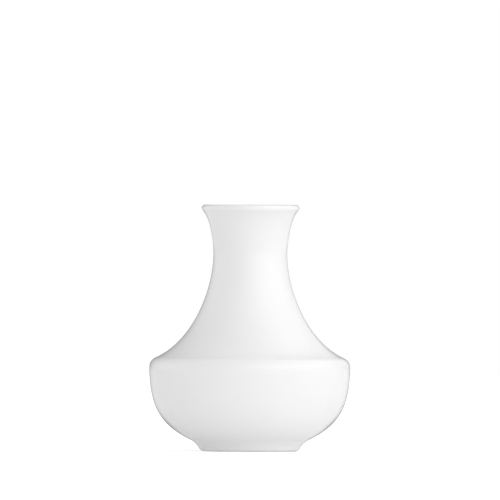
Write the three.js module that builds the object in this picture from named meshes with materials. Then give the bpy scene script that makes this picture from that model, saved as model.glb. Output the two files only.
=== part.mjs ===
// A small flower vase in white hotel porcelain: a flared lip, a slim neck that spreads in a hollow
// curve to a soft shoulder, a round bowl and a low foot ring. It is one slip-cast body, with a
// glassy glaze fused to it in three coats: one outside, one inside, and one in the recess under the
// foot. The foot ring's edge is wiped bare, and the vase stands on it.
//
// Millimetres and degrees, +Z up, origin at the centre of the ring that the vase stands on.
// Every section is a profile of (radius, height) points turned about Z. All the profiles are turned
// with the same number of facets, so a coat shares each of its inner points with the body under it.
import * as THREE from "three";

// Driving sizes of the outside.
const HEIGHT = 125; // from the surface it stands on to the crest of the lip
const MOUTH_RADIUS = 24.75; // outermost radius of the lip
const LIP_LEAN = 41; // how far the outside leans out, off upright, where the lip's round begins
const NECK_RADIUS = 18.7; // at the narrowest
const NECK_BELOW_CREST = 24.7; // from the lip's crest down to the narrowest place
const BELLY_RADIUS = 50.9; // at the widest
const SHOULDER_HEIGHT = 42.6; // where the side stands upright, just below the shoulder's round
const SHOULDER_ROUND = 5.2; // radius of the shoulder's edge
const SHOULDER_LEAN = 66; // lean, off upright, of the hollow curve where it meets the shoulder
const FOOT_RADIUS = 25.3; // outside of the foot ring, at the top of its bare band
const FOOT_LEAN = 25; // lean of the foot ring's outside there
const JUNCTION_OUT = 4.8; // from the foot ring's outside out to where the bowl's underside begins
const JUNCTION_HEIGHT = 5.8;
const JUNCTION_LEAN = 63;

// Fullness of each curve: how far it holds its end's direction, as a share of the straight line
// between its ends.
const LIP_CURVE = { neck: 0.18, lip: 0.31 };
const CONE_CURVE = { neck: 0.29, shoulder: 0.35 };
const BOWL_CURVE = { belly: 0.52, junction: 0.36 };
const FOOT_CURVE = { junction: 0.36, foot: 0.36 };
const FLOOR_CURVE = { wall: 0.3, floor: 0.5 };

// Wall, foot ring and glaze.
const WALL = 3.2; // finished thickness, glaze included
const FLOOR = 4.2; // finished thickness over the recess, glaze included
const FLAT_FLOOR_RADIUS = 15; // the inside is level within this radius
const RING_WIDTH = 4.8; // foot ring, across its bare band
const RECESS_HEIGHT = 2.8; // from the surface it stands on up to the recess's ceiling
const RECESS_LEAN = 12; // draft of the recess's wall
const RECESS_ROUND = 1.2; // radius between the recess's wall and its ceiling
const MOST_ROUND = 0.9; // the round takes up no more than this share of the wall
const BARE_BAND = 0.9; // the ring is bare up to this height, inside and out
const GLAZE = 0.25; // thickness of each coat

const FACETS = 36; // flats around the vase
// Steps along each stretch of the profile.
const STEPS = { foot: 3, bowl: 7, shoulder: 3, cone: 7, lip: 3, edge: 4, floor: 3, toe: 2, recess: 2 };

const point = (radius, height) => new THREE.Vector2(radius, height);
const radians = THREE.MathUtils.degToRad;

// The direction that climbs at a lean off upright: outwards for a positive lean.
const climb = (lean) => point(Math.sin(radians(lean)), Math.cos(radians(lean)));

// A curve that leaves `start` along `leaving` and reaches `end` along `arriving`, both unit vectors.
// Each hold is a share of the straight line between the ends.
function flow(start, leaving, leaveHold, end, arriving, arriveHold, steps) {
  const span = start.distanceTo(end);
  return new THREE.CubicBezierCurve(
    start,
    start.clone().addScaledVector(leaving, span * leaveHold),
    end.clone().addScaledVector(arriving, -span * arriveHold),
    end,
  ).getPoints(steps);
}

// An arc from one angle to another, in degrees anticlockwise from straight outwards.
function arc(centre, radius, from, to, steps) {
  return Array.from({ length: steps + 1 }, (_, i) => {
    const angle = radians(from + ((to - from) * i) / steps);
    return point(centre.x + radius * Math.cos(angle), centre.y + radius * Math.sin(angle));
  });
}

// Stretches end to end, with the point that two of them share kept once.
const chain = (...stretches) =>
  stretches.flatMap((stretch, i) => (i === 0 ? stretch : stretch.slice(1)));

// The profile moved to its left by a distance. A profile that climbs the outside moves into the wall.
function inset(profile, distance) {
  return profile.map((here, i) => {
    const before = profile[Math.max(i - 1, 0)];
    const after = profile[Math.min(i + 1, profile.length - 1)];
    const along = after.clone().sub(before).normalize();
    const moved = point(here.x - along.y * distance, here.y + along.x * distance);
    return here.x === 0 ? moved.setX(0) : moved;
  });
}

// The outside, from the top of the foot ring's bare band up to where the lip's round begins.
function outsideWall() {
  const edge = WALL / 2;
  const foot = point(FOOT_RADIUS, BARE_BAND);
  const junction = point(FOOT_RADIUS + JUNCTION_OUT, JUNCTION_HEIGHT);
  const belly = point(BELLY_RADIUS, SHOULDER_HEIGHT);
  const shoulder = point(BELLY_RADIUS - SHOULDER_ROUND, SHOULDER_HEIGHT);
  const shoulderArc = arc(shoulder, SHOULDER_ROUND, 0, SHOULDER_LEAN, STEPS.shoulder);
  const coneFoot = shoulderArc[shoulderArc.length - 1];
  const neck = point(NECK_RADIUS, HEIGHT - NECK_BELOW_CREST);
  const lipCentre = point(MOUTH_RADIUS - edge, HEIGHT - edge);
  const lipFoot = arc(lipCentre, edge, -LIP_LEAN, 0, 1)[0];
  const upright = climb(0);
  const underside = climb(JUNCTION_LEAN);
  const flare = climb(LIP_LEAN);
  const { foot: footSteps, bowl, cone, lip } = STEPS;
  return chain(
    flow(foot, climb(FOOT_LEAN), FOOT_CURVE.foot, junction, underside, FOOT_CURVE.junction, footSteps),
    flow(junction, underside, BOWL_CURVE.junction, belly, upright, BOWL_CURVE.belly, bowl),
    shoulderArc,
    flow(coneFoot, climb(-SHOULDER_LEAN), CONE_CURVE.shoulder, neck, upright, CONE_CURVE.neck, cone),
    flow(neck, upright, LIP_CURVE.neck, lipFoot, flare, LIP_CURVE.lip, lip),
  );
}

// The lip's round, from the outside wall over the crest to the inside wall.
function lipEdge() {
  const edge = WALL / 2;
  const centre = point(MOUTH_RADIUS - edge, HEIGHT - edge);
  return arc(centre, edge, -LIP_LEAN, 180 - LIP_LEAN, STEPS.edge);
}

// The inside, from the lip down to the axis: a wall of even thickness as far as the foot ring, then
// the floor.
function insideWall(outside) {
  const aboveFoot = outside.slice(STEPS.foot);
  const wall = inset(aboveFoot, WALL).reverse();
  wall[0] = lipEdge().pop();
  const floorHeight = RECESS_HEIGHT + FLOOR;
  const wallEnd = wall[wall.length - 1];
  const level = point(-1, 0);
  const down = climb(JUNCTION_LEAN).negate();
  const flatEdge = point(FLAT_FLOOR_RADIUS, floorHeight);
  return chain(
    wall,
    flow(wallEnd, down, FLOOR_CURVE.wall, flatEdge, level, FLOOR_CURVE.floor, STEPS.floor),
    [flatEdge, point(0, floorHeight)],
  );
}

// The recess under the foot, from the axis outwards and down to the top of the ring's bare band.
function recess() {
  const wallRadius = FOOT_RADIUS - RING_WIDTH;
  const rise = RECESS_HEIGHT - BARE_BAND;
  const round = Math.min(RECESS_ROUND, rise * MOST_ROUND);
  const lean = radians(RECESS_LEAN);
  // The round's centre lies its radius below the ceiling and inside the leaning wall.
  const centreRadius = wallRadius - (rise - round) * Math.tan(lean) - round / Math.cos(lean);
  const centre = point(centreRadius, RECESS_HEIGHT - round);
  return [
    point(0, RECESS_HEIGHT),
    ...arc(centre, round, 90, RECESS_LEAN, STEPS.recess),
    point(wallRadius, BARE_BAND),
  ];
}

// The bare toe of the ring, from the recess's side under the ring to the outside. Each side is
// rounded so that it leaves its wall smoothly and lies level where the vase stands.
function bareRing(recessEnd, footStart) {
  const toeRadius = (top, lean) => top.y / (1 - Math.sin(radians(lean)));
  const innerRadius = toeRadius(recessEnd, RECESS_LEAN);
  const outerRadius = toeRadius(footStart, FOOT_LEAN);
  const innerX = recessEnd.x + innerRadius * Math.cos(radians(RECESS_LEAN));
  const outerX = footStart.x - outerRadius * Math.cos(radians(FOOT_LEAN));
  return [
    recessEnd,
    ...arc(point(innerX, innerRadius), innerRadius, 180 + RECESS_LEAN, 270, STEPS.toe).slice(1),
    ...arc(point(outerX, outerRadius), outerRadius, -90, -FOOT_LEAN, STEPS.toe).slice(0, -1),
    footStart,
  ];
}

// The finished surfaces, and the same profiles one glaze thickness down, which are the body's.
const outside = outsideWall();
const outerSkin = chain(outside, lipEdge());
const innerSkin = insideWall(outside);
const recessSkin = recess();
const wholeSkin = chain(outerSkin, innerSkin);
const wholeBody = inset(wholeSkin, GLAZE);
const outerBody = wholeBody.slice(0, outerSkin.length);
const innerBody = wholeBody.slice(outerSkin.length - 1);
const recessBody = inset(recessSkin, GLAZE);

const bodySection = chain(
  recessBody,
  bareRing(recessBody[recessBody.length - 1], outerBody[0]),
  outerBody,
  innerBody,
);

// A coat lies between its finished surface and the body. Each section keeps its material on its
// left: a coat that ends short of the axis at both ends is closed on itself, and the others start
// and end on the axis.
const outerCoat = [...outerSkin, ...outerBody.toReversed(), outerSkin[0]];
const innerCoat = [...innerBody.toReversed(), ...innerSkin];
const recessCoat = [...recessSkin, ...recessBody.toReversed()];

// A section turned about Z.
function turned(name, section, finish) {
  const geometry = new THREE.LatheGeometry(section, FACETS);
  geometry.rotateX(Math.PI / 2);
  const mesh = new THREE.Mesh(geometry, new THREE.MeshStandardMaterial(finish));
  mesh.name = name;
  return mesh;
}

const glossWhite = { color: 0xf3f3f1, roughness: 0.08, metalness: 0 };
const bareWhite = { color: 0xe6e2da, roughness: 0.6, metalness: 0 };

const vase = new THREE.Group();
vase.add(
  turned("porcelain_body", bodySection, bareWhite),
  turned("outer_glaze", outerCoat, glossWhite),
  turned("inner_glaze", innerCoat, glossWhite),
  turned("recess_glaze", recessCoat, glossWhite),
);

export default vase;
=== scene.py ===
"""A small flower vase in white hotel porcelain, in a plain studio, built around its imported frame.

The frame holds one fired body and three coats of glaze. Here each of them is turned again from a
finer profile: the body with its bare, ground foot ring, and the coats with rounded edges where they
were wiped back from the ring, a faint ripple, and a colour and gloss that follow how thick the glaze
lies. Metres, +Z up, standing on z = 0, with the axis of the vase on Z.
"""

import math

import bmesh
import bpy
from bpy.props import FloatProperty, FloatVectorProperty, IntProperty, PointerProperty
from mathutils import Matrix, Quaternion, Vector
from mathutils.geometry import interpolate_bezier


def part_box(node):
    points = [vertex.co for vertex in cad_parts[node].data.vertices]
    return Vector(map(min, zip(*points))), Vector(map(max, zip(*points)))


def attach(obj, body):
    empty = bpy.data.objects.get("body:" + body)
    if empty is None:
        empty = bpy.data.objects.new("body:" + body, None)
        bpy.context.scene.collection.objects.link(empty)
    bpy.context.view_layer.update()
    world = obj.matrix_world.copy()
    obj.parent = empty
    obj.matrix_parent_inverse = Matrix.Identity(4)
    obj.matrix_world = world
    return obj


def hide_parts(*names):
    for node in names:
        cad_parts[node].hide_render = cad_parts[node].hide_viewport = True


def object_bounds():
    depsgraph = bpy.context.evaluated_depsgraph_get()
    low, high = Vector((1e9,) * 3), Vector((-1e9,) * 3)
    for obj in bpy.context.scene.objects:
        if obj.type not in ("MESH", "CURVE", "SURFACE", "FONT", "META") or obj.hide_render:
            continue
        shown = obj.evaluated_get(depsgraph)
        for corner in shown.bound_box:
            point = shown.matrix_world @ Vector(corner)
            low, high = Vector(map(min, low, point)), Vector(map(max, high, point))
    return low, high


bl_info = {
    "name": "White Porcelain Vase",
    "version": (1, 0, 0),
    "blender": (4, 5, 0),
    "location": "View3D > Sidebar > Vase",
    "description": "Turns a glazed porcelain flower vase and sets it in a plain studio",
    "category": "Add Mesh",
}

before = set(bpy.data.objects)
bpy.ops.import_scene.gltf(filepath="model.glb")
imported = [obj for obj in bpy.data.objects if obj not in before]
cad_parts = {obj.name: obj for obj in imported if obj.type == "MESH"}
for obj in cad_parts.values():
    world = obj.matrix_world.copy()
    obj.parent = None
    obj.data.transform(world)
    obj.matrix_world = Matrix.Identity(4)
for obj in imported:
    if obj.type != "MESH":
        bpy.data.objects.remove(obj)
CAD_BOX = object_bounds()
MM = 0.001

# Sizes that the frame holds: its overall box, and where each coat of glaze begins and ends.
HEIGHT = CAD_BOX[1].z
BELLY_RADIUS = CAD_BOX[1].x
GLAZE = BELLY_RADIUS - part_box("porcelain_body")[1].x
BARE_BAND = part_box("outer_glaze")[0].z
FLOOR_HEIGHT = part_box("inner_glaze")[0].z + GLAZE
RECESS_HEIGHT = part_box("recess_glaze")[1].z - GLAZE

# How long each curve of the profile holds the direction of its ends, as a share of the straight
# line between them.
FOOT_HOLDS = (0.36, 0.36)
BOWL_HOLDS = (0.36, 0.52)
CONE_HOLDS = (0.35, 0.29)
LIP_HOLDS = (0.18, 0.31)
FLOOR_HOLDS = (0.3, 0.5)

# Steps along each stretch of the profile.
FOOT_STEPS = 14
BOWL_STEPS = 40
SHOULDER_STEPS = 14
CONE_STEPS = 44
LIP_STEPS = 20
EDGE_STEPS = 28
FLOOR_STEPS = 16
TOE_STEPS = 8
FLAT_STEPS = 4
RECESS_STEPS = 12
BEAD_STEPS = 8

# How melted glaze settles: over this reach it is drawn off an edge and into a hollow, and a bulge
# of this height is enough to leave it at its thinnest.
PULL = 2.0 * MM
PULL_BULGE = 0.9 * MM
EVEN_DEPTH = 0.5
FADE = 3.0 * MM  # the ripple dies away over this length before the end of a coat

WELD = 0.001 * MM  # points closer than this are one point
SHARP = math.radians(40)  # an edge that turns by more than this is shaded sharp
DEPTH_NAME = "glaze_depth"

# The glaze's finish: clouding, iron specks, wiping marks, orange peel and pits. A spacing is the
# side of the cells that specks are scattered over, one to a cell, and a share is how many are there.
GLAZE_IOR = 1.46
CLOUD_RANGE = (0.25, 0.75)  # the part of a noise's range that a cloud is drawn from
CLOUD_SIZE = 30 * MM
CLOUDED_DEPTH = 0.25
SPECK_CORE = 0.5  # of a speck's radius, and solid within it
IRON_SPACING = 9 * MM
IRON_RADIUS = 0.3 * MM
IRON_SHARE = 0.25
IRON_DARKNESS = 0.12
WIPE_SIZE = 18 * MM
WIPE_ROUGHNESS = 0.04
PEEL_SIZE = 3 * MM
PEEL_DEPTH = 0.004 * MM
PIT_SPACING = 12 * MM
PIT_RADIUS = 0.35 * MM
PIT_SHARE = 0.3
PIT_DEPTH = 0.02 * MM

# The bare ring's finish: ground rings, scuffs and grain.
GRIND_PITCH = 0.35 * MM
GRIND_DEPTH = 0.03 * MM
GROUND_HEIGHT = 0.25 * MM
SCUFF_SIZE = 6 * MM
SCUFF_SHARE = 0.6
RUBBED_RINGS = (0.35, 0.65)  # of the ground rings' height, those that are rubbed: from none to all
STAIN_SHARE = 0.12
RUBBED_SMOOTHER = 0.18
GRAIN_SIZE = 0.25 * MM
GRAIN_DEPTH = 0.02 * MM

# On the floor the dark board fades in between these distances behind the vase's axis.
BOARD_FRONT = (0.15 * BELLY_RADIUS, 1.15 * BELLY_RADIUS)

SENSOR = 36.0  # width of the camera's sensor, in millimetres like its lens
VIEW_SIDE = -0.18 * MM  # where the middle of the view lies along X, just left of the vase's axis

# Soft lights round the vase, each as degrees to the right of the camera, degrees above the
# horizon, spread in degrees, and strength.
SOFT_LIGHTS = (
    (45, 2, 66, 1.88),
    (-104, 0, 45, 1.28),
    (139, 60, 28, 0.93),
    (163, 12, 22, 0.6),
)


# ---------------------------------------------------------------- sizes and colours


def length(name, description, millimetres):
    """A size that the user can change, given here in millimetres."""
    return FloatProperty(name=name, description=description, default=millimetres * MM,
                         min=0, unit="LENGTH", precision=5)


def lean(name, description, degrees):
    """A lean off upright that the user can change."""
    return FloatProperty(name=name, description=description, default=math.radians(degrees),
                         min=0, max=math.pi / 2, subtype="ANGLE", unit="ROTATION")


def share(name, description, default):
    """A number from 0 to 1 that the user can change."""
    return FloatProperty(name=name, description=description, default=default,
                         min=0, max=1, subtype="FACTOR")


def colour(name, description, red, green, blue):
    """A colour that the user can change."""
    return FloatVectorProperty(name=name, description=description, default=(red, green, blue),
                               min=0, max=1, size=3, subtype="COLOR")


class VaseSizes(bpy.types.PropertyGroup):
    """The outside of the vase, its wall, its foot and its glaze."""

    height: length("Height", "From the table to the crest of the lip", HEIGHT / MM)
    belly_radius: length("Belly radius", "At the widest", BELLY_RADIUS / MM)
    mouth_radius: length("Mouth radius", "Outside of the lip", 24.75)
    lip_lean: lean("Lip lean", "Lean of the outside where the lip's round begins", 41)
    neck_radius: length("Neck radius", "At the narrowest", 18.7)
    neck_below_crest: length("Neck below crest", "From the crest down to the narrowest place", 24.7)
    shoulder_height: length("Shoulder height", "Where the side stands upright", 42.6)
    shoulder_round: length("Shoulder round", "Radius of the shoulder's edge", 5.2)
    shoulder_lean: lean("Shoulder lean", "Lean of the hollow curve where it meets the shoulder", 66)
    foot_radius: length("Foot radius", "Outside of the foot, at the top of its bare band", 25.3)
    foot_lean: lean("Foot lean", "Lean of the foot's outside there", 25)
    junction_out: length("Junction out", "From the foot's outside to the bowl's underside", 4.8)
    junction_height: length("Junction height", "Where the bowl's underside begins", 5.8)
    junction_lean: lean("Junction lean", "Lean of the bowl's underside there", 63)
    wall: length("Wall", "Finished thickness of the wall", 3.2)
    floor_height: length("Floor height", "Top of the floor inside", FLOOR_HEIGHT / MM)
    flat_floor_radius: length("Flat floor radius", "The floor is level within it", 15)
    ring_width: length("Ring width", "Width of the foot ring across its bare band", 4.8)
    recess_height: length("Recess height", "Ceiling of the recess in the foot", RECESS_HEIGHT / MM)
    recess_lean: lean("Recess lean", "Draft of the recess's wall", 12)
    recess_round: length("Recess round", "Between the recess's wall and its ceiling", 1.2)
    bare_band: length("Bare band", "Height to which the ring is wiped bare", BARE_BAND / MM)
    glaze: length("Glaze", "Thickness of each coat", GLAZE / MM)
    ripple: length("Ripple", "Depth of the ripple in the finished glaze", 0.012)
    ripple_size: length("Ripple size", "Width of one wave of the ripple", 14)
    facets: IntProperty(name="Facets", description="Flats around the vase", default=192, min=24)
    seed: IntProperty(name="Seed", description="Fixes the ripple's pattern", default=7)


class PorcelainLook(bpy.types.PropertyGroup):
    """The colours and the gloss of the glaze and of the bare porcelain."""

    even_glaze: colour("Even glaze", "Where the glaze lies evenly", 0.86, 0.86, 0.859)
    thin_glaze: colour("Thin glaze", "Where it is drawn thin over an edge", 0.87, 0.869, 0.866)
    pooled_glaze: colour("Pooled glaze", "Where it gathers in a hollow", 0.84, 0.843, 0.843)
    iron_speck: colour("Iron speck", "A rare speck under the glaze", 0.35, 0.31, 0.27)
    glaze_roughness: share("Glaze roughness", "Of the clean, finished glaze", 0.09)
    bare_porcelain: colour("Bare porcelain", "The fired body where it is ground", 0.86, 0.855, 0.845)
    scuffed_porcelain: colour("Scuffed porcelain", "Where the foot has rubbed", 0.60, 0.585, 0.56)
    bare_roughness: share("Bare roughness", "Of the ground porcelain", 0.62)


# ---------------------------------------------------------------- the profile


def point(radius, height):
    return Vector((radius, height))


def climb(lean_angle):
    """The direction that climbs at a lean off upright, outwards for a positive lean."""
    return point(math.sin(lean_angle), math.cos(lean_angle))


def flow(start, leaving, end, arriving, holds, steps):
    """A curve that leaves start along one direction and reaches end along another."""
    span = (end - start).length
    handles = start + leaving * span * holds[0], end - arriving * span * holds[1]
    return list(interpolate_bezier(start, *handles, end, steps + 1))


def arc(centre, radius, start, end, steps):
    """An arc between two angles, anticlockwise from straight outwards."""
    angles = [start + (end - start) * i / steps for i in range(steps + 1)]
    return [centre + point(math.cos(a), math.sin(a)) * radius for a in angles]


def straight(start, end, steps):
    return [start.lerp(end, i / steps) for i in range(steps)] + [end]


def chain(*stretches):
    """Stretches end to end, with the point that two of them share kept once."""
    return list(stretches[0]) + [p for stretch in stretches[1:] for p in stretch[1:]]


def inset(profile, distance):
    """The profile moved to its left, which is into the wall for one that climbs the outside."""
    moved = []
    for i, here in enumerate(profile):
        along = profile[min(i + 1, len(profile) - 1)] - profile[max(i - 1, 0)]
        along.normalize()
        moved.append(here + point(-along.y, along.x) * distance)
        if here.x == 0:
            moved[-1].x = 0
    return moved


def bead(start, end):
    """The round edge of a coat, which bulges to the right of the way from start to end."""
    centre, half = (start + end) / 2, (start - end) / 2
    across = point(-half.y, half.x)
    turns = [math.pi * i / BEAD_STEPS for i in range(BEAD_STEPS)]
    return [centre + half * math.cos(t) + across * math.sin(t) for t in turns] + [end]


def outside_wall(s):
    """The outside, from the top of the foot's bare band up to where the lip's round begins."""
    edge = s.wall / 2
    foot = point(s.foot_radius, s.bare_band)
    junction = point(s.foot_radius + s.junction_out, s.junction_height)
    belly = point(s.belly_radius, s.shoulder_height)
    shoulder = arc(point(s.belly_radius - s.shoulder_round, s.shoulder_height),
                   s.shoulder_round, 0, s.shoulder_lean, SHOULDER_STEPS)
    neck = point(s.neck_radius, s.height - s.neck_below_crest)
    lip_centre = point(s.mouth_radius - edge, s.height - edge)
    lip_foot = arc(lip_centre, edge, -s.lip_lean, 0, 1)[0]
    upright, underside = climb(0), climb(s.junction_lean)
    return chain(
        flow(foot, climb(s.foot_lean), junction, underside, FOOT_HOLDS, FOOT_STEPS),
        flow(junction, underside, belly, upright, BOWL_HOLDS, BOWL_STEPS),
        shoulder,
        flow(shoulder[-1], climb(-s.shoulder_lean), neck, upright, CONE_HOLDS, CONE_STEPS),
        flow(neck, upright, lip_foot, climb(s.lip_lean), LIP_HOLDS, LIP_STEPS),
    )


def lip_edge(s):
    """The lip's round, from the outside over the crest to the inside."""
    edge = s.wall / 2
    centre = point(s.mouth_radius - edge, s.height - edge)
    return arc(centre, edge, -s.lip_lean, math.pi - s.lip_lean, EDGE_STEPS)


def inside_wall(s, outside):
    """The inside, from the lip down to the axis: an even wall as far as the foot, then the floor."""
    wall = inset(outside[FOOT_STEPS:], s.wall)[::-1]
    wall[0] = lip_edge(s)[-1]
    flat_edge = point(s.flat_floor_radius, s.floor_height)
    corner = flow(wall[-1], -climb(s.junction_lean), flat_edge, point(-1, 0), FLOOR_HOLDS, FLOOR_STEPS)
    return chain(wall, corner, straight(flat_edge, point(0, s.floor_height), FLOOR_STEPS))


def recess(s):
    """The recess in the foot, from the axis outwards and down to the top of the bare band."""
    wall_radius = s.foot_radius - s.ring_width
    rise = s.recess_height - s.bare_band - s.recess_round
    inwards = rise * math.tan(s.recess_lean) + s.recess_round / math.cos(s.recess_lean)
    corner = arc(point(wall_radius - inwards, s.recess_height - s.recess_round),
                 s.recess_round, math.pi / 2, s.recess_lean, RECESS_STEPS)
    return chain(
        straight(point(0, s.recess_height), corner[0], RECESS_STEPS),
        corner,
        straight(corner[-1], point(wall_radius, s.bare_band), FLAT_STEPS),
    )


def bare_ring(s, recess_end, foot_start):
    """The ring's bare toe, rounded from each side down to the flat that the vase stands on."""
    inner_round = recess_end.y / (1 - math.sin(s.recess_lean))
    outer_round = foot_start.y / (1 - math.sin(s.foot_lean))
    inner = point(recess_end.x + inner_round * math.cos(s.recess_lean), inner_round)
    outer = point(foot_start.x - outer_round * math.cos(s.foot_lean), outer_round)
    inner_toe = arc(inner, inner_round, math.pi + s.recess_lean, math.pi * 1.5, TOE_STEPS)
    outer_toe = arc(outer, outer_round, -math.pi / 2, -s.foot_lean, TOE_STEPS)
    return chain(inner_toe, straight(inner_toe[-1], outer_toe[0], FLAT_STEPS), outer_toe)


def lengths(profile):
    """The length of a profile from its start to each of its points."""
    total = [0.0]
    for before, here in zip(profile, profile[1:]):
        total.append(total[-1] + (here - before).length)
    return total


def at_length(profile, along, wanted):
    """The point of a profile that is a wanted length from its start."""
    after = next((i for i, there in enumerate(along) if i and there >= wanted), len(along) - 1)
    part = (wanted - along[after - 1]) / (along[after] - along[after - 1])
    return profile[after - 1].lerp(profile[after], min(max(part, 0), 1))


def glaze_depths(skin):
    """How deep the glaze lies at each point, from 0 to 1: thin over an edge, pooled in a hollow."""
    along = lengths(skin)
    depths = []
    for here, there in zip(skin, along):
        before, after = (at_length(skin, along, there + pull) for pull in (-PULL, PULL))
        across = (after - before).normalized()
        bulge = (here - (before + after) / 2).dot(point(across.y, -across.x))
        depths.append(min(max(EVEN_DEPTH - bulge / PULL_BULGE, 0), 1))
    return depths


def lifts(skin):
    """How far the ripple lifts each point of a finished surface: not at all where a coat ends."""
    along = lengths(skin)
    from_start = [FADE if skin[0].x == 0 else there for there in along]
    from_end = [FADE if skin[-1].x == 0 else along[-1] - there for there in along]
    return [min(a, b, FADE) / FADE for a, b in zip(from_start, from_end)]


class Section:
    """A closed section with its material on the left, and what each of its points carries: how far
    the ripple lifts it, and how deep the glaze lies there."""

    def __init__(self, hidden_before=(), skin=(), hidden_after=()):
        before, after = len(hidden_before), len(hidden_after)
        self.points = [*hidden_before, *skin, *hidden_after]
        self.lift = [0.0] * before + (lifts(skin) if skin else []) + [0.0] * after
        self.depth = [EVEN_DEPTH] * before + (glaze_depths(skin) if skin else []) + [EVEN_DEPTH] * after

    def outwards(self):
        """The direction out of the material at each point."""
        last = len(self.points) - 1
        spans = [self.points[min(i + 1, last)] - self.points[max(i - 1, 0)] for i in range(last + 1)]
        return [Vector((along.y, 0, -along.x)).normalized() for along in spans]


def vase_sections(s):
    """The four sections. The coats share their inner points with the body, face to face."""
    outside = outside_wall(s)
    outer_skin = chain(outside, lip_edge(s))
    inner_skin = inside_wall(s, outside)
    recess_skin = recess(s)
    body = inset(chain(outer_skin, inner_skin), s.glaze)
    outer_body, inner_body = body[:len(outer_skin)], body[len(outer_skin) - 1:]
    recess_body = inset(recess_skin, s.glaze)
    ring = bare_ring(s, recess_body[-1], outer_body[0])
    outer_edge = bead(outer_body[0], outer_skin[0])
    recess_edge = bead(recess_skin[-1], recess_body[-1])
    return {
        "fired_body": Section(chain(recess_body, ring, outer_body, inner_body)),
        "outside_glaze": Section(skin=outer_skin, hidden_after=outer_body[::-1] + outer_edge[1:]),
        "inside_glaze": Section(hidden_before=inner_body[::-1], skin=inner_skin),
        "foot_glaze": Section(skin=recess_skin, hidden_after=recess_edge[1:] + recess_body[-2::-1]),
    }


# ---------------------------------------------------------------- node helpers


def add(tree, kind, inputs=None, **settings):
    """Adds a node, with its settings, and its inputs linked or set."""
    node = tree.nodes.new(kind)
    for name, value in settings.items():
        setattr(node, name, value)
    for name, value in (inputs or {}).items():
        if isinstance(value, bpy.types.NodeSocket):
            tree.links.new(value, node.inputs[name])
        else:
            node.inputs[name].default_value = value
    return node


def maths(tree, operation, *values, **settings):
    """The result of a Math node."""
    return add(tree, "ShaderNodeMath", dict(enumerate(values)), operation=operation, **settings).outputs[0]


def new_group(name, kind, inputs, outputs):
    """A node group with its sockets, and its input and output nodes."""
    tree = bpy.data.node_groups.new(name, kind)
    for in_out, sockets in (("INPUT", inputs), ("OUTPUT", outputs)):
        for socket_name, (socket_kind, default) in sockets.items():
            socket = tree.interface.new_socket(socket_name, in_out=in_out, socket_type=socket_kind)
            if default is not None:
                socket.default_value = default
    return tree, tree.nodes.new("NodeGroupInput").outputs, tree.nodes.new("NodeGroupOutput")


def arrange(tree):
    """Sets the nodes out in columns, each to the left of what it feeds."""
    column = {}

    def place(node, depth):
        if column.get(node, -1) < depth:
            column[node] = depth
            for socket in node.inputs:
                for link in socket.links:
                    place(link.from_node, depth + 1)

    for node in tree.nodes:
        if not any(socket.links for socket in node.outputs):
            place(node, 0)
    filled = {}
    for node, depth in column.items():
        row = filled[depth] = filled.get(depth, -1) + 1
        node.location = (-240 * depth, -220 * row)


# ---------------------------------------------------------------- turning


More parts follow.
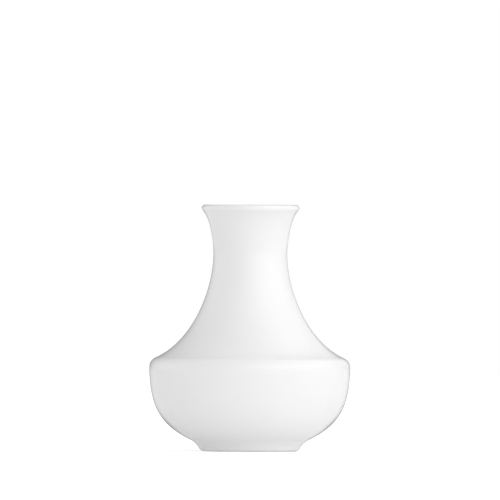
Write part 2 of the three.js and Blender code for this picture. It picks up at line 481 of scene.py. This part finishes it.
def turning_tree():
    """Turns a profile about Z: a grid whose rows are copies of the profile, wrapped round the axis,
    with the finished surface lifted by a ripple of the glaze."""
    if "Turned Ware" in bpy.data.node_groups:
        return bpy.data.node_groups["Turned Ware"]
    tree, given, end = new_group(
        "Turned Ware", "GeometryNodeTree",
        {
            "Profile": ("NodeSocketGeometry", None),
            "Facets": ("NodeSocketInt", 96),
            "Ripple": ("NodeSocketFloat", 0.0),
            "Ripple Size": ("NodeSocketFloat", 0.01),
            "Seed": ("NodeSocketInt", 0),
            "Material": ("NodeSocketMaterial", None),
        },
        {"Ware": ("NodeSocketGeometry", None)},
    )
    points = add(tree, "GeometryNodeAttributeDomainSize", {"Geometry": given["Profile"]}).outputs[0]
    rows = add(tree, "FunctionNodeIntegerMath", {0: given["Facets"], 1: 1}, operation="ADD").outputs[0]
    grid = add(tree, "GeometryNodeMeshGrid", {"Vertices X": rows, "Vertices Y": points}).outputs["Mesh"]
    index = add(tree, "GeometryNodeInputIndex").outputs[0]
    row = add(tree, "FunctionNodeIntegerMath", {0: index, 1: points}, operation="DIVIDE_FLOOR").outputs[0]
    step = add(tree, "FunctionNodeIntegerMath", {0: index, 1: points}, operation="MODULO").outputs[0]
    angle = maths(tree, "MULTIPLY", maths(tree, "DIVIDE", row, given["Facets"]), math.tau)

    def carried(field, data_type):
        """What the profile carries at this step."""
        inputs = {"Geometry": given["Profile"], "Value": field, "Index": step}
        return add(tree, "GeometryNodeSampleIndex", inputs, data_type=data_type, domain="POINT").outputs[0]

    def named(name, data_type):
        return add(tree, "GeometryNodeInputNamedAttribute", {"Name": name}, data_type=data_type).outputs[0]

    def turned(vector):
        return add(tree, "ShaderNodeVectorRotate", {"Vector": vector, "Angle": angle},
                   rotation_type="Z_AXIS").outputs[0]

    place = turned(carried(add(tree, "GeometryNodeInputPosition").outputs[0], "FLOAT_VECTOR"))
    outwards = turned(carried(named("outwards", "FLOAT_VECTOR"), "FLOAT_VECTOR"))
    lift = carried(named("lift", "FLOAT"), "FLOAT")
    wave = add(tree, "ShaderNodeTexNoise", {
        "Vector": place, "W": given["Seed"], "Detail": 1.0, "Roughness": 0.4,
        "Scale": maths(tree, "DIVIDE", 1.0, given["Ripple Size"]),
    }, noise_dimensions="4D").outputs[0]
    height = maths(tree, "MULTIPLY", maths(tree, "SUBTRACT", wave, 0.5), given["Ripple"])
    lifted = maths(tree, "MULTIPLY", height, lift)
    offset = add(tree, "ShaderNodeVectorMath", {0: outwards, "Scale": lifted}, operation="SCALE").outputs[0]
    wrapped = add(tree, "GeometryNodeSetPosition", {
        "Geometry": grid, "Position": place, "Offset": offset}).outputs[0]
    deep = add(tree, "GeometryNodeStoreNamedAttribute", {
        "Geometry": wrapped, "Name": DEPTH_NAME, "Value": carried(named(DEPTH_NAME, "FLOAT"), "FLOAT"),
    }, data_type="FLOAT", domain="POINT").outputs[0]
    closed = add(tree, "GeometryNodeMergeByDistance", {"Geometry": deep, "Distance": WELD}).outputs[0]
    smooth = add(tree, "GeometryNodeSetShadeSmooth", {"Geometry": closed}, domain="FACE").outputs[0]
    edge_angle = add(tree, "GeometryNodeInputMeshEdgeAngle").outputs["Unsigned Angle"]
    sharp = maths(tree, "GREATER_THAN", edge_angle, SHARP)
    creased = add(tree, "GeometryNodeSetShadeSmooth", {
        "Geometry": smooth, "Selection": sharp, "Shade Smooth": False,
    }, domain="EDGE").outputs[0]
    real = add(tree, "GeometryNodeRealizeInstances", {"Geometry": creased}).outputs[0]
    painted = add(tree, "GeometryNodeSetMaterial", {
        "Geometry": real, "Material": given["Material"]}).outputs[0]
    tree.links.new(painted, end.inputs["Ware"])
    arrange(tree)
    return tree


def profile_mesh(name, section):
    """The section as a line of edges, with what its points carry stored on them."""
    mesh = bpy.data.meshes.new(name)
    count = len(section.points)
    mesh.from_pydata([(p.x, 0, p.y) for p in section.points], [(i, i + 1) for i in range(count - 1)], [])
    for attribute, kind, key, values in (
        ("outwards", "FLOAT_VECTOR", "vector", [c for v in section.outwards() for c in v]),
        ("lift", "FLOAT", "value", section.lift),
        (DEPTH_NAME, "FLOAT", "value", section.depth),
    ):
        mesh.attributes.new(attribute, kind, "POINT").data.foreach_set(key, values)
    return mesh


def turn(name, section, material, sizes, ripple=0.0, seed_shift=0):
    """Turns a section, and returns the plain mesh object that comes of it."""
    profile = bpy.data.objects.new(name + "_profile", profile_mesh(name + "_profile", section))
    bpy.context.scene.collection.objects.link(profile)
    modifier = profile.modifiers.new("Turning", "NODES")
    modifier.node_group = turning_tree()
    values = {"Facets": sizes.facets, "Ripple": ripple, "Ripple Size": sizes.ripple_size,
              "Seed": sizes.seed + seed_shift, "Material": material}
    for socket in modifier.node_group.interface.items_tree:
        if socket.name in values:
            modifier[socket.identifier] = values[socket.name]
    graph = bpy.context.evaluated_depsgraph_get()
    mesh = bpy.data.meshes.new_from_object(profile.evaluated_get(graph), depsgraph=graph)
    mesh.name = name
    mesh.materials.clear()
    mesh.materials.append(material)
    profile.modifiers.clear()
    bpy.data.meshes.remove(profile.data)
    check_closed(name, mesh)
    piece = bpy.data.objects.new(name, mesh)
    bpy.context.scene.collection.objects.link(piece)
    return piece


def check_closed(name, mesh):
    """Stops the build if a turned piece is open or inside out."""
    solid = bmesh.new()
    solid.from_mesh(mesh)
    open_edges = sum(not edge.is_manifold for edge in solid.edges)
    volume = solid.calc_volume(signed=True)
    solid.free()
    if open_edges or volume <= 0:
        raise RuntimeError(f"{name} has {open_edges} open edges and a volume of {volume:.3g} cubic metres")


# ---------------------------------------------------------------- materials


def object_place(tree):
    return add(tree, "ShaderNodeTexCoord").outputs["Object"]


def group(tree, source, inputs):
    """Places a shader node group in a material, and returns its outputs."""
    return add(tree, "ShaderNodeGroup", inputs, node_tree=source).outputs


def between(tree, value, low, high):
    """How far a value is from low to high, from 0 to 1, smoothly at both ends."""
    inputs = {"Value": value, "From Min": low, "From Max": high}
    return add(tree, "ShaderNodeMapRange", inputs, interpolation_type="SMOOTHSTEP").outputs["Result"]


def faded(tree, angle, spread):
    """From 1 where the angle is nothing, away to 0 past the spread, with no edge."""
    part = maths(tree, "DIVIDE", angle, spread)
    return maths(tree, "EXPONENT", maths(tree, "MULTIPLY", maths(tree, "MULTIPLY", part, part), -1.0))


def mixed(tree, share_of_second, first, second):
    """A colour between two colours."""
    node = add(tree, "ShaderNodeMix", data_type="RGBA")
    values = {"Factor_Float": share_of_second, "A_Color": first, "B_Color": second}
    for socket in node.inputs:
        value = values.get(socket.identifier)
        if isinstance(value, bpy.types.NodeSocket):
            tree.links.new(value, socket)
        elif value is not None:
            socket.default_value = value
    return next(socket for socket in node.outputs if socket.identifier == "Result_Color")


def cloud_group():
    """Soft patches, from 0 to 1, of a given size."""
    if "Cloud" in bpy.data.node_groups:
        return bpy.data.node_groups["Cloud"]
    tree, given, end = new_group(
        "Cloud", "ShaderNodeTree",
        {"Size": ("NodeSocketFloat", 0.01), "Seed": ("NodeSocketFloat", 0.0)},
        {"Mask": ("NodeSocketFloat", None)},
    )
    noise = add(tree, "ShaderNodeTexNoise", {
        "Vector": object_place(tree), "W": given["Seed"], "Detail": 2.0, "Roughness": 0.5,
        "Scale": maths(tree, "DIVIDE", 1.0, given["Size"]),
    }, noise_dimensions="4D").outputs[0]
    tree.links.new(between(tree, noise, *CLOUD_RANGE), end.inputs["Mask"])
    arrange(tree)
    return tree


def speck_group():
    """Scattered round specks: one to a cell, of which only a share is there."""
    if "Specks" in bpy.data.node_groups:
        return bpy.data.node_groups["Specks"]
    tree, given, end = new_group(
        "Specks", "ShaderNodeTree",
        {"Spacing": ("NodeSocketFloat", 0.01), "Radius": ("NodeSocketFloat", 0.0002),
         "Share": ("NodeSocketFloat", 0.1), "Seed": ("NodeSocketFloat", 0.0)},
        {"Mask": ("NodeSocketFloat", None)},
    )
    cells = add(tree, "ShaderNodeTexVoronoi", {
        "Vector": object_place(tree), "W": given["Seed"], "Randomness": 1.0,
        "Scale": maths(tree, "DIVIDE", 1.0, given["Spacing"]),
    }, voronoi_dimensions="4D")
    reach = maths(tree, "MULTIPLY", cells.outputs["Distance"], given["Spacing"])
    near = maths(tree, "DIVIDE", reach, given["Radius"])
    dot = maths(tree, "SUBTRACT", 1.0, between(tree, near, SPECK_CORE, 1.0))
    lot = add(tree, "ShaderNodeSeparateColor", {"Color": cells.outputs["Color"]}).outputs[0]
    there = maths(tree, "LESS_THAN", lot, given["Share"])
    tree.links.new(maths(tree, "MULTIPLY", dot, there), end.inputs["Mask"])
    arrange(tree)
    return tree


def glaze_depth_group():
    """The glaze's colour and clouding by how thick it lies."""
    tree, given, end = new_group(
        "Glaze Depth", "ShaderNodeTree",
        {"Depth": ("NodeSocketFloat", EVEN_DEPTH), "Clouding": ("NodeSocketFloat", 0.5),
         "Thin": ("NodeSocketColor", None), "Even": ("NodeSocketColor", None),
         "Pooled": ("NodeSocketColor", None)},
        {"Color": ("NodeSocketColor", None)},
    )
    drift = maths(tree, "MULTIPLY", maths(tree, "SUBTRACT", given["Clouding"], 0.5), CLOUDED_DEPTH)
    depth = maths(tree, "ADD", given["Depth"], drift)
    even = mixed(tree, between(tree, depth, 0.0, EVEN_DEPTH), given["Thin"], given["Even"])
    pooled = mixed(tree, between(tree, depth, EVEN_DEPTH, 1.0), even, given["Pooled"])
    tree.links.new(pooled, end.inputs["Color"])
    arrange(tree)
    return tree


def new_material(name):
    """An empty material, its node tree and its shader."""
    material = bpy.data.materials.new(name)
    material.use_nodes = True
    tree = material.node_tree
    tree.nodes.clear()
    shader = add(tree, "ShaderNodeBsdfPrincipled")
    add(tree, "ShaderNodeOutputMaterial", {"Surface": shader.outputs[0]})
    return material, tree, shader


def link_inputs(tree, shader, values):
    for name, value in values.items():
        tree.links.new(value, shader.inputs[name])


def bumped(tree, height):
    """The normal of a surface raised by a height in metres."""
    return add(tree, "ShaderNodeBump", {"Height": height, "Distance": 1.0}).outputs["Normal"]


def glaze_material(look):
    """Clear, glossy white glaze: nearly even, with the faint unevenness of a fired surface."""
    if "White Glaze" in bpy.data.materials:
        return bpy.data.materials["White Glaze"]
    material, tree, shader = new_material("White Glaze")
    shader.inputs["IOR"].default_value = GLAZE_IOR
    clouding = group(tree, cloud_group(), {"Size": CLOUD_SIZE, "Seed": 1.0})["Mask"]
    colour_by_depth = group(tree, glaze_depth_group(), {
        "Depth": add(tree, "ShaderNodeAttribute", attribute_name=DEPTH_NAME).outputs["Fac"],
        "Clouding": clouding,
        "Thin": (*look.thin_glaze, 1),
        "Even": (*look.even_glaze, 1),
        "Pooled": (*look.pooled_glaze, 1),
    })["Color"]
    iron = group(tree, speck_group(), {
        "Spacing": IRON_SPACING, "Radius": IRON_RADIUS, "Share": IRON_SHARE, "Seed": 2.0})["Mask"]
    stained = maths(tree, "MULTIPLY", iron, IRON_DARKNESS)
    flecked = mixed(tree, stained, colour_by_depth, (*look.iron_speck, 1))
    wiping = group(tree, cloud_group(), {"Size": WIPE_SIZE, "Seed": 3.0})["Mask"]
    roughness = maths(tree, "MULTIPLY_ADD", wiping, WIPE_ROUGHNESS, look.glaze_roughness)
    peel = group(tree, cloud_group(), {"Size": PEEL_SIZE, "Seed": 4.0})["Mask"]
    pits = group(tree, speck_group(), {
        "Spacing": PIT_SPACING, "Radius": PIT_RADIUS, "Share": PIT_SHARE, "Seed": 5.0})["Mask"]
    height = maths(tree, "MULTIPLY_ADD", pits, -PIT_DEPTH, maths(tree, "MULTIPLY", peel, PEEL_DEPTH))
    link_inputs(tree, shader, {
        "Base Color": flecked, "Roughness": roughness, "Normal": bumped(tree, height)})
    arrange(tree)
    return material


def bare_material(look):
    """Bare fired porcelain, ground flat where the vase stands, with the grey marks of use on it."""
    if "Bare Porcelain" in bpy.data.materials:
        return bpy.data.materials["Bare Porcelain"]
    material, tree, shader = new_material("Bare Porcelain")
    place = add(tree, "ShaderNodeSeparateXYZ", {"Vector": object_place(tree)}).outputs
    across = add(tree, "ShaderNodeCombineXYZ", {"X": place["X"], "Y": place["Y"]}).outputs[0]
    radius = add(tree, "ShaderNodeVectorMath", {0: across}, operation="LENGTH").outputs["Value"]
    rings = add(tree, "ShaderNodeTexNoise", {"W": radius, "Scale": 1 / GRIND_PITCH, "Detail": 3.0},
                noise_dimensions="1D").outputs[0]
    ground = maths(tree, "SUBTRACT", 1.0, between(tree, place["Z"], 0.0, GROUND_HEIGHT))
    patches = group(tree, cloud_group(), {"Size": SCUFF_SIZE, "Seed": 6.0})["Mask"]
    high_rings = maths(tree, "MULTIPLY", between(tree, rings, *RUBBED_RINGS), ground)
    scuffed = maths(tree, "MULTIPLY", patches, high_rings)
    clouding = group(tree, cloud_group(), {"Size": CLOUD_SIZE / 2, "Seed": 7.0})["Mask"]
    rubbed_in = maths(tree, "MULTIPLY", scuffed, SCUFF_SHARE)
    stain = maths(tree, "MULTIPLY_ADD", clouding, STAIN_SHARE, rubbed_in)
    colour_of_ring = mixed(tree, stain, (*look.bare_porcelain, 1), (*look.scuffed_porcelain, 1))
    roughness = maths(tree, "MULTIPLY_ADD", scuffed, -RUBBED_SMOOTHER, look.bare_roughness)
    grain = group(tree, cloud_group(), {"Size": GRAIN_SIZE, "Seed": 8.0})["Mask"]
    scored = maths(tree, "MULTIPLY", maths(tree, "MULTIPLY", rings, ground), GRIND_DEPTH)
    height = maths(tree, "MULTIPLY_ADD", grain, GRAIN_DEPTH, scored)
    link_inputs(tree, shader, {
        "Base Color": colour_of_ring, "Roughness": roughness, "Normal": bumped(tree, height)})
    arrange(tree)
    return material


def floor_material(studio):
    """A plain pale floor with a glow of its own. To the camera it is lifted to white, and keeps only
    the shadow that the vase casts on it. Reflections see the dark board lie on it, behind the vase."""
    material, tree, shader = new_material("Pale Floor")
    shader.inputs["Roughness"].default_value = 1.0
    shader.inputs["Specular IOR Level"].default_value = 0.0
    shader.inputs["Emission Color"].default_value = (1, 1, 1, 1)
    ray = add(tree, "ShaderNodeLightPath").outputs
    place = add(tree, "ShaderNodeSeparateXYZ", {"Vector": object_place(tree)}).outputs
    # Behind the vase the board is as wide as the vase, and widens by the board's own spread.
    beside = maths(tree, "SUBTRACT", maths(tree, "ABSOLUTE", place["X"]), BELLY_RADIUS)
    angle_out = maths(tree, "ARCTAN2", maths(tree, "MAXIMUM", beside, 0.0), place["Y"])
    behind = between(tree, place["Y"], *BOARD_FRONT)
    board = maths(tree, "MULTIPLY", behind, faded(tree, angle_out, studio.board_spread))
    darkness = maths(tree, "MULTIPLY", ray["Is Glossy Ray"], studio.board_darkness)
    kept = maths(tree, "SUBTRACT", 1.0, maths(tree, "MULTIPLY", board, darkness))
    glow = maths(tree, "MULTIPLY_ADD", ray["Is Camera Ray"], studio.floor_lift, studio.floor_glow)
    link_inputs(tree, shader, {
        "Base Color": mixed(tree, kept, (0, 0, 0, 1), (*studio.floor_colour, 1)),
        "Emission Strength": maths(tree, "MULTIPLY", glow, kept),
    })
    arrange(tree)
    return material


# ---------------------------------------------------------------- studio


def towards(azimuth, elevation):
    """The direction to a light that stands at an azimuth to the right of the camera, and above the
    horizon by the elevation."""
    level = math.cos(elevation)
    return Vector((level * math.sin(azimuth), -level * math.cos(azimuth), math.sin(elevation)))


def soft_light_group():
    """A light with no edge: brightest in one direction, and fading away from it all round."""
    if "Soft Light" in bpy.data.node_groups:
        return bpy.data.node_groups["Soft Light"]
    tree, given, end = new_group(
        "Soft Light", "ShaderNodeTree",
        {"Direction": ("NodeSocketVector", None), "Spread": ("NodeSocketFloat", 0.5),
         "Strength": ("NodeSocketFloat", 1.0)},
        {"Light": ("NodeSocketFloat", None)},
    )
    looking = add(tree, "ShaderNodeTexCoord").outputs["Generated"]
    dot = add(tree, "ShaderNodeVectorMath", {0: looking, 1: given["Direction"]}, operation="DOT_PRODUCT")
    away = maths(tree, "ARCCOSINE", dot.outputs["Value"])
    light = maths(tree, "MULTIPLY", faded(tree, away, given["Spread"]), given["Strength"])
    tree.links.new(light, end.inputs["Light"])
    arrange(tree)
    return tree


def light_studio(studio):
    """White to the camera. To the vase, soft lights all round, and a dark board behind it, which
    draws its outline."""
    world = bpy.data.worlds.new("Studio")
    world.use_nodes = True
    tree = world.node_tree
    tree.nodes.clear()
    light = studio.even_light
    for azimuth, elevation, spread, strength in SOFT_LIGHTS:
        direction = towards(math.radians(azimuth), math.radians(elevation))
        inputs = {"Direction": direction, "Spread": math.radians(spread), "Strength": strength}
        one = group(tree, soft_light_group(), inputs)["Light"]
        light = maths(tree, "MULTIPLY_ADD", one, studio.soft_light, light)
    board = group(tree, soft_light_group(), {
        "Direction": (0, 1, 0), "Spread": studio.board_spread, "Strength": studio.board_darkness})["Light"]
    lit = maths(tree, "MULTIPLY", light, maths(tree, "SUBTRACT", 1.0, board))
    seen = add(tree, "ShaderNodeLightPath").outputs["Is Camera Ray"]
    shown = add(tree, "ShaderNodeMix", {"Factor": seen, "A": lit, "B": 1.0}).outputs["Result"]
    background = add(tree, "ShaderNodeBackground", {"Color": (1, 1, 1, 1), "Strength": shown})
    add(tree, "ShaderNodeOutputWorld", {"Surface": background.outputs[0]})
    arrange(tree)
    bpy.context.scene.world = world


def lay_floor(studio):
    """A plain floor at the height that the vase stands on."""
    mesh = bpy.data.meshes.new("floor")
    side = studio.floor_size / 2
    corners = [(-side, -side, 0), (side, -side, 0), (side, side, 0), (-side, side, 0)]
    mesh.from_pydata(corners, [], [(0, 1, 2, 3)])
    mesh.materials.append(floor_material(studio))
    floor = bpy.data.objects.new("floor", mesh)
    bpy.context.scene.collection.objects.link(floor)


def place_camera(studio):
    """A long lens far off, almost level with the vase."""
    data = bpy.data.cameras.new("camera")
    data.sensor_width = SENSOR
    data.lens = studio.lens
    distance = studio.view_width * studio.lens / SENSOR
    data.clip_start = distance / 10
    data.clip_end = distance * 10
    camera = bpy.data.objects.new("camera", data)
    target = Vector((VIEW_SIDE, 0, studio.view_height))
    back = towards(0, studio.camera_elevation)
    camera.location = target + back * distance
    upright = (-back).to_track_quat("-Z", "Y")
    camera.rotation_euler = (upright @ Quaternion((0, 0, 1), studio.camera_roll)).to_euler()
    bpy.context.scene.collection.objects.link(camera)
    bpy.context.scene.camera = camera


class Studio(bpy.types.PropertyGroup):
    """The camera, the floor and the light."""

    view_width: length("View width", "What the view takes in across the vase", 253.6)
    view_height: length("View height", "Height of the middle of the view", 102.1)
    camera_elevation: lean("Camera elevation", "How far the camera looks down", 0.38)
    camera_roll: lean("Camera roll", "How far the camera tips over to its left", 0.3)
    lens: FloatProperty(name="Lens", description="Focal length in millimetres", default=1500, min=1)
    floor_size: length("Floor size", "Side of the square floor", 6000)
    floor_colour: colour("Floor colour", "The plain pale floor", 0.8, 0.8, 0.8)
    floor_glow: FloatProperty(name="Floor glow", description="The floor's own light",
                              default=0.175, min=0)
    floor_lift: FloatProperty(name="Floor lift", description="Whitens the floor to the camera",
                              default=0.32, min=0)
    soft_light: FloatProperty(name="Soft lights", description="Multiplies every soft light",
                              default=1.0, min=0)
    even_light: FloatProperty(name="Even light", description="Light from all round", default=0.1, min=0)
    board_spread: lean("Board spread", "How far round the dark board reaches", 16)
    board_darkness: share("Board darkness", "How much light the dark board takes away", 1.0)


# ---------------------------------------------------------------- operators


def finish_piece(piece, replaced):
    """Hands a finished piece to the frame."""
    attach(piece, "root")
    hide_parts(replaced)


class TurnedPiece:
    """What the four turning operators share."""

    bl_options = {"REGISTER", "UNDO"}

    def turn_piece(self, context, name, replaced, slot, material, ripple=0.0, seed_shift=0):
        sizes = context.scene.vase_sizes
        section = vase_sections(sizes)[name]
        piece = turn(name, section, material, sizes, ripple, seed_shift)
        finish_piece(piece, replaced)
        return {"FINISHED"}


class VASE_OT_fired_body(TurnedPiece, bpy.types.Operator):
    """Turns the fired porcelain body with its bare foot ring"""

    bl_idname = "vase.fired_body"
    bl_label = "Fired Body"

    def execute(self, context):
        material = bare_material(context.scene.vase_look)
        return self.turn_piece(context, "fired_body", "porcelain_body", "bare_porcelain", material)


class VASE_OT_outside_glaze(TurnedPiece, bpy.types.Operator):
    """Coats the outside and the lip with glaze"""

    bl_idname = "vase.outside_glaze"
    bl_label = "Outside Glaze"

    def execute(self, context):
        material = glaze_material(context.scene.vase_look)
        ripple = context.scene.vase_sizes.ripple
        return self.turn_piece(context, "outside_glaze", "outer_glaze", "white_glaze", material, ripple)


class VASE_OT_inside_glaze(TurnedPiece, bpy.types.Operator):
    """Coats the inside with glaze"""

    bl_idname = "vase.inside_glaze"
    bl_label = "Inside Glaze"

    def execute(self, context):
        material = glaze_material(context.scene.vase_look)
        ripple = context.scene.vase_sizes.ripple
        return self.turn_piece(context, "inside_glaze", "inner_glaze", "white_glaze", material, ripple, 1)


class VASE_OT_foot_glaze(TurnedPiece, bpy.types.Operator):
    """Coats the recess in the foot with glaze"""

    bl_idname = "vase.foot_glaze"
    bl_label = "Foot Glaze"

    def execute(self, context):
        material = glaze_material(context.scene.vase_look)
        ripple = context.scene.vase_sizes.ripple
        return self.turn_piece(context, "foot_glaze", "recess_glaze", "white_glaze", material, ripple, 2)


class VASE_OT_stage(bpy.types.Operator):
    """Lays the floor, lights the studio and places the camera"""

    bl_idname = "vase.stage"
    bl_label = "Stage"
    bl_options = {"REGISTER", "UNDO"}

    def execute(self, context):
        studio = context.scene.vase_studio
        lay_floor(studio)
        light_studio(studio)
        place_camera(studio)
        context.scene.view_settings.view_transform = "Standard"
        return {"FINISHED"}


OPERATORS = (
    VASE_OT_fired_body,
    VASE_OT_outside_glaze,
    VASE_OT_inside_glaze,
    VASE_OT_foot_glaze,
    VASE_OT_stage,
)


class VASE_PT_sidebar(bpy.types.Panel):
    """The steps that make the vase, and its sizes and colours"""

    bl_idname = "VASE_PT_sidebar"
    bl_label = "White Porcelain Vase"
    bl_space_type = "VIEW_3D"
    bl_region_type = "UI"
    bl_category = "Vase"

    def draw(self, context):
        for operator in OPERATORS:
            self.layout.operator(operator.bl_idname)
        for settings in (context.scene.vase_sizes, context.scene.vase_look, context.scene.vase_studio):
            box = self.layout.box()
            for name in settings.__annotations__:
                box.prop(settings, name)


CLASSES = (VaseSizes, PorcelainLook, Studio, *OPERATORS, VASE_PT_sidebar)


def register():
    for one in CLASSES:
        bpy.utils.register_class(one)
    bpy.types.Scene.vase_sizes = PointerProperty(type=VaseSizes)
    bpy.types.Scene.vase_look = PointerProperty(type=PorcelainLook)
    bpy.types.Scene.vase_studio = PointerProperty(type=Studio)


def unregister():
    del bpy.types.Scene.vase_studio
    del bpy.types.Scene.vase_look
    del bpy.types.Scene.vase_sizes
    for one in reversed(CLASSES):
        bpy.utils.unregister_class(one)


def main():
    """Makes every piece and the stage."""
    register()
    bpy.ops.vase.stage()
    bpy.ops.vase.fired_body()
    bpy.ops.vase.outside_glaze()
    bpy.ops.vase.inside_glaze()
    bpy.ops.vase.foot_glaze()


if __name__ == "__main__":
    main()
